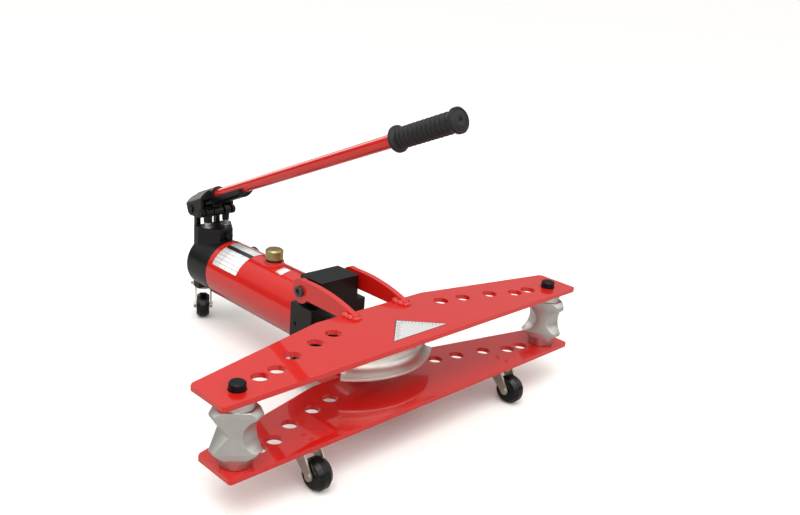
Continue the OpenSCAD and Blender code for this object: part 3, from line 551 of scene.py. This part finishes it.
class BENDER_OT_rollers(bpy.types.Operator):
    """Model the three-sided roller blocks that stand for the rollers' solids"""
    bl_idname = "bender.rollers"
    bl_label = "Rollers"

    def execute(self, context):
        sizes = context.scene.bender_sizes
        colours = context.scene.bender_colours
        alloy = cast_aluminium("tumbled cast aluminium", colours.alloy, "#B2B1AF", 0.36, 0.5)
        # Form, half height and depth of the pipe grooves
        vee = ("vee", 26 * MM, 17.5 * MM)
        wide = ("round", 25 * MM, 17 * MM)
        narrow = ("round", 21.5 * MM, 16 * MM)
        for side, facing, grooves in (("left", sizes.left_facing, (wide, narrow, vee)),
                                      ("right", sizes.right_facing, (narrow, vee, wide))):
            low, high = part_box(side + "_roller")
            shape = roller_block(sizes, low.z, high.z, facing, grooves)
            axis = Vector(joint(side + "_roller_turn")["pos_m"])
            bmesh.ops.translate(shape, vec=(axis.x, axis.y, 0), verts=shape.verts)
            piece = settle(side + "_roller_block", shape, [alloy], side + "_roller")
            piece.data.set_sharp_from_angle(angle=SHARP)
            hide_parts(side + "_roller")
        return {"FINISHED"}


def bead(shape, start, end, size, pitch):
    """A row of flattened ripples from one point to another, a little uneven."""
    flatness = 0.62
    run = end - start
    count = max(2, round(run.length / pitch))
    turn = Vector((1, 0, 0)).rotation_difference(run.normalized()).to_matrix().to_4x4()
    for i in range(count + 1):
        # Two waves that are never in step
        swell = 1.0 + 0.12 * math.sin(2.3 * i) + 0.08 * math.sin(5.1 * i)
        place = Matrix.Translation(start + run * (i / count)) @ turn
        stretch = Matrix.Diagonal((flatness * size, swell * size, swell * size, 1.0))
        bmesh.ops.create_uvsphere(shape, u_segments=12, v_segments=8, radius=1.0, matrix=place @ stretch)


class BENDER_OT_welds(bpy.types.Operator):
    """Lay the weld beads that hold the arms to the plates and the boss to the tube"""
    bl_idname = "bender.welds"
    bl_label = "Welds"

    def execute(self, context):
        sizes = context.scene.bender_sizes
        red = NODES["upper_plate"].data.materials[0]
        tip_radius, pitch = sizes.weld_radius, sizes.weld_pitch
        # The beads along an arm's sides are fatter than the one across its tip
        side_radius = tip_radius * 1.25
        for level, plate, body in (("upper", "upper_plate", "wing"), ("lower", "lower_plate", "frame")):
            plate_low, plate_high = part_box(plate)
            z = plate_high.z if level == "upper" else plate_low.z
            for side in ("left", "right"):
                low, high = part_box(side + "_" + level + "_arm")
                front, back = low.y, low.y + sizes.weld_run
                shape = bmesh.new()
                for x in (low.x, high.x):
                    bead(shape, Vector((x, front + tip_radius, z)), Vector((x, back, z)), side_radius, pitch)
                bead(shape, Vector((low.x, front, z)), Vector((high.x, front, z)), tip_radius, pitch)
                piece = settle(side + "_" + level + "_arm_weld", shape, [red], body)
        low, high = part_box("filler_boss")
        centre = (low + high) / 2
        radius = (high.x - low.x) / 2
        ripples = 48
        ripple = Matrix.Diagonal((2.2 * MM, 1.7 * MM, 2.2 * MM, 1.0))
        shape = bmesh.new()
        for i in range(ripples):
            way = 2 * math.pi * i / ripples
            x, y = radius * math.cos(way), radius * math.sin(way)
            z = TUBE_MIDDLE + math.sqrt(TUBE_RADIUS ** 2 - x ** 2)
            place = Matrix.Translation((x, centre.y + y, z)) @ Matrix.Rotation(way, 4, "Z")
            bmesh.ops.create_uvsphere(shape, u_segments=10, v_segments=6, radius=1.0, matrix=place @ ripple)
        piece = settle("filler_boss_weld", shape, [red], "frame")
        return {"FINISHED"}


def tube_patch(name, ends, arc, thickness, bands):
    """A sheet bent round the reservoir tube, in bands: a material and the share of the arc it starts at."""
    near, far = ends
    high_way, low_way = (math.radians(degrees) for degrees in arc)
    radius = TUBE_RADIUS + thickness + GLUE

    def share(at):
        """How far a point lies from the arc's lower end to its upper end."""
        return (low_way - math.atan2(-at.x, at.z - TUBE_MIDDLE)) / (low_way - high_way)

    shape = bmesh.new()
    layer = shape.loops.layers.uv.new("print")
    x, z = -radius * math.sin(low_way), TUBE_MIDDLE + radius * math.cos(low_way)
    verts = [shape.verts.new((x, y, z)) for y in ends]
    edge = shape.edges.new(verts)
    bmesh.ops.spin(shape, geom=verts + [edge], cent=(0, 0, TUBE_MIDDLE), axis=(0, 1, 0),
                   angle=low_way - high_way, steps=36)
    for face in shape.faces:
        middle = share(face.calc_center_median())
        face.material_index = max(i for i, (material, start) in enumerate(bands) if middle >= start)
        for corner in face.loops:
            at = corner.vert.co
            corner[layer].uv = ((at.y - near) / (far - near), share(at))
    bmesh.ops.recalc_face_normals(shape, faces=shape.faces)
    first = next(iter(shape.faces))
    middle = first.calc_center_median()
    if first.normal.dot(Vector((middle.x, 0, middle.z - TUBE_MIDDLE))) < 0:
        bmesh.ops.reverse_faces(shape, faces=shape.faces)
    bmesh.ops.solidify(shape, geom=list(shape.faces), thickness=thickness)
    return settle(name, shape, [material for material, start in bands], "frame")


class BENDER_OT_tube_labels(bpy.types.Operator):
    """Put the plain ruled label and the small plain label on the reservoir tube"""
    bl_idname = "bender.tube_labels"
    bl_label = "Tube labels"

    def execute(self, context):
        sizes = context.scene.bender_sizes
        colours = context.scene.bender_colours
        ink, film = label_materials(colours)
        table = printed_label(colours, "ruled label vinyl", 9, 4)
        plain = printed_label(colours, "plain label vinyl", 1, 1)
        # Ends along the tube, and degrees from its top towards the left side
        table_ends = (TUBE_HIGH.y - 93.5 * MM, TUBE_HIGH.y - 14.5 * MM)
        small_ends = (TUBE_LOW.y + 79 * MM, TUBE_LOW.y + 98 * MM)
        table_arc, small_arc = (-10, 65), (1, 23)
        table_piece = tube_patch("ruled_label", table_ends, table_arc, sizes.label_thickness,
                                 ((table, 0.0), (ink, 0.58), (film, 0.72)))
        small_piece = tube_patch("small_label", small_ends, small_arc, sizes.label_thickness,
                                 ((film, 0.0), (plain, 0.15)))
        return {"FINISHED"}


class BENDER_OT_plate_label(bpy.types.Operator):
    """Put the three-cornered label with plain tick marks on the upper plate"""
    bl_idname = "bender.plate_label"
    bl_label = "Plate label"

    def execute(self, context):
        sizes = context.scene.bender_sizes
        ink, film = label_materials(context.scene.bender_colours)
        off_middle, from_front, border = -5 * MM, 20.5 * MM, 2.2 * MM
        centre = Vector((off_middle, PLATE_LOW.y + from_front, PLATE_HIGH.z))
        corners = [centre + Vector(way) for way in ((-sizes.scale_half, 0, 0), (sizes.scale_half, 0, 0),
                                                    (0, sizes.scale_tall, 0))]
        shape = bmesh.new()
        face = shape.faces.new([shape.verts.new(corner + Vector((0, 0, GLUE))) for corner in corners])
        face.normal_update()
        grown = bmesh.ops.extrude_face_region(shape, geom=[face])
        tops = [made for made in grown["geom"] if isinstance(made, bmesh.types.BMVert)]
        bmesh.ops.translate(shape, verts=tops, vec=(0, 0, sizes.label_thickness))
        top = max(shape.faces, key=lambda side: side.calc_center_median().z)
        bmesh.ops.inset_individual(shape, faces=[top], thickness=border)
        for side in shape.faces:
            side.material_index = 1
        top.material_index = 0
        ground = settle("plate_label", shape, [film, ink], "wing", smooth=False)
        # Plain tick marks along the two slanting sides, every third one long
        short, long, wide, thick, margin, proud = 4 * MM, 7 * MM, 0.7 * MM, 0.1 * MM, 3.4 * MM, 0.08 * MM
        # Marks on a side, and their start and pitch as shares of its length
        count, first, pitch = 12, 0.1, 0.065
        marks = bmesh.new()
        lift = Vector((0, 0, sizes.label_thickness + proud))
        peak = corners[2] + lift
        for foot in (corners[0] + lift, corners[1] + lift):
            slant = peak - foot
            run = slant.normalized()
            inward = Vector((run.y, -run.x, 0)) if foot.x < centre.x else Vector((-run.y, run.x, 0))
            turn = Matrix.Rotation(math.atan2(inward.y, inward.x), 4, "Z")
            for i in range(1, count + 1):
                mark = long if i % 3 == 0 else short
                at = foot + slant * (first + pitch * i) + inward * (margin + mark / 2)
                stretch = Matrix.Diagonal((mark, wide, thick, 1.0))
                bmesh.ops.create_cube(marks, size=1.0, matrix=Matrix.Translation(at) @ turn @ stretch)
        ticks = settle("plate_label_ticks", marks, [ink], "wing", smooth=False)
        return {"FINISHED"}


def studio_world():
    """A wall with a dark foot, a dome that grows brighter overhead, and a round softbox high on the left."""
    world = bpy.data.worlds.new("studio")
    world.use_nodes = True
    tree = world.node_tree
    ahead = add(tree, "ShaderNodeTexCoord").outputs["Generated"]
    height = add(tree, "ShaderNodeSeparateXYZ", Vector=ahead).outputs["Z"]
    softbox_way = Vector((-0.32, -0.22, 0.92)).normalized()
    near = add(tree, "ShaderNodeVectorMath", {"operation": "DOT_PRODUCT", 1: softbox_way}, _0=ahead)
    soft = {"interpolation_type": "SMOOTHSTEP"}
    wall = add(tree, "ShaderNodeMapRange", soft | {"From Min": 0.2, "From Max": 0.36, "To Min": 0.03,
                                                   "To Max": 0.44}, Value=height)
    dome = add(tree, "ShaderNodeMapRange", {"From Min": 0.4, "To Min": 0.0, "To Max": 0.66}, Value=height)
    softbox = add(tree, "ShaderNodeMapRange", soft | {"From Min": 0.93, "From Max": 0.965, "To Min": 0.0,
                                                      "To Max": 3.8}, Value=near.outputs["Value"])
    room = add(tree, "ShaderNodeMath", {"operation": "ADD"}, _0=wall.outputs["Result"],
               _1=dome.outputs["Result"])
    total = add(tree, "ShaderNodeMath", {"operation": "ADD"}, _0=room.outputs["Value"],
                _1=softbox.outputs["Result"])
    # The eye sees a pale backdrop, and only the part's surfaces see the wall's dark foot
    seen = add(tree, "ShaderNodeLightPath").outputs["Is Camera Ray"]
    shown = add(tree, "ShaderNodeMix", {"data_type": "FLOAT", 3: 1.1}, _0=seen, _2=total.outputs["Value"])
    tree.links.new(shown.outputs[0], tree.nodes["Background"].inputs["Strength"])
    tree.nodes["Background"].inputs["Color"].default_value = (1.0, 0.985, 0.96, 1.0)
    return world


def studio_lamps(scene):
    """Broad fills in front and to the sides, so that the sides and the bare metal catch light."""
    target = Vector((0, 0, 0.15))
    for name, place, size, power in (
            ("left fill", (-2.3, -2.8, 2.3), 3.0, 58),
            ("front fill", (0.4, -3.6, 0.9), 3.0, 24),
            ("right fill", (2.8, -2.2, 2.2), 3.0, 24),
            ("back strip", (0.6, 4.2, 1.5), 2.0, 26),
            ("side glow", (-3.5, 2.1, 1.9), 2.4, 30)):
        lamp = bpy.data.lights.new(name, "AREA")
        lamp.size = size
        lamp.energy = power
        lamp.color = (1.0, 0.96, 0.9)
        holder = bpy.data.objects.new(name, lamp)
        holder.location = place
        holder.visible_camera = False
        holder.rotation_euler = (target - Vector(place)).to_track_quat("-Z", "Y").to_euler()
        scene.collection.objects.link(holder)


def photo_camera(scene):
    """The camera at the photo's place and angle, fitted to the round holes and the outline of the wings."""
    place = (-0.9353, -1.1412, 0.7316)
    ahead = Vector((0.68023, 0.65814, -0.32270)).normalized()
    right = Vector((0.71210, -0.69772, 0.07808)).normalized()
    up = right.cross(ahead).normalized()
    lens = bpy.data.cameras.new("photo camera")
    lens.sensor_width = 36.0
    lens.sensor_fit = "HORIZONTAL"
    lens.lens = 39.243
    lens.clip_end = 1000.0
    eye = bpy.data.objects.new("photo camera", lens)
    eye.matrix_world = Matrix.Translation(place) @ Matrix((right, up, -ahead)).transposed().to_4x4()
    scene.collection.objects.link(eye)
    scene.camera = eye


class BENDER_OT_stage(bpy.types.Operator):
    """Set up the floor, the soft lights and the camera"""
    bl_idname = "bender.stage"
    bl_label = "Stage"

    def execute(self, context):
        scene = context.scene
        shape = bmesh.new()
        bmesh.ops.create_grid(shape, x_segments=1, y_segments=1, size=400.0)
        mesh = bpy.data.meshes.new("floor")
        shape.to_mesh(mesh)
        shape.free()
        mesh.materials.append(studio_floor(scene.bender_colours))
        floor = bpy.data.objects.new("floor", mesh)
        scene.collection.objects.link(floor)
        scene.world = studio_world()
        studio_lamps(scene)
        photo_camera(scene)
        scene.view_settings.view_transform = "Standard"
        return {"FINISHED"}


class BENDER_PT_panel(bpy.types.Panel):
    """Lists the bender's pieces, sizes and colours"""
    bl_idname = "BENDER_PT_panel"
    bl_label = "Pipe bender"
    bl_space_type = "VIEW_3D"
    bl_region_type = "UI"
    bl_category = "Pipe bender"

    def draw(self, context):
        layout = self.layout
        for operator in OPERATORS:
            layout.operator(operator.bl_idname)
        for group in (context.scene.bender_sizes, context.scene.bender_colours):
            box = layout.box()
            for name in group.bl_rna.properties.keys():
                if name not in ("rna_type", "name"):
                    box.prop(group, name)


OPERATORS = (BENDER_OT_finishes, BENDER_OT_grip, BENDER_OT_rollers, BENDER_OT_welds, BENDER_OT_tube_labels,
             BENDER_OT_plate_label, BENDER_OT_stage)
CLASSES = (BenderSizes, BenderColours) + OPERATORS + (BENDER_PT_panel,)


def register():
    for made in CLASSES:
        bpy.utils.register_class(made)
    bpy.types.Scene.bender_sizes = PointerProperty(type=BenderSizes)
    bpy.types.Scene.bender_colours = PointerProperty(type=BenderColours)


def unregister():
    del bpy.types.Scene.bender_colours
    del bpy.types.Scene.bender_sizes
    for made in reversed(CLASSES):
        bpy.utils.unregister_class(made)


def main():
    register()
    for operator in OPERATORS:
        group, name = operator.bl_idname.split(".")
        getattr(getattr(bpy.ops, group), name)()


if __name__ == "__main__":
    main()
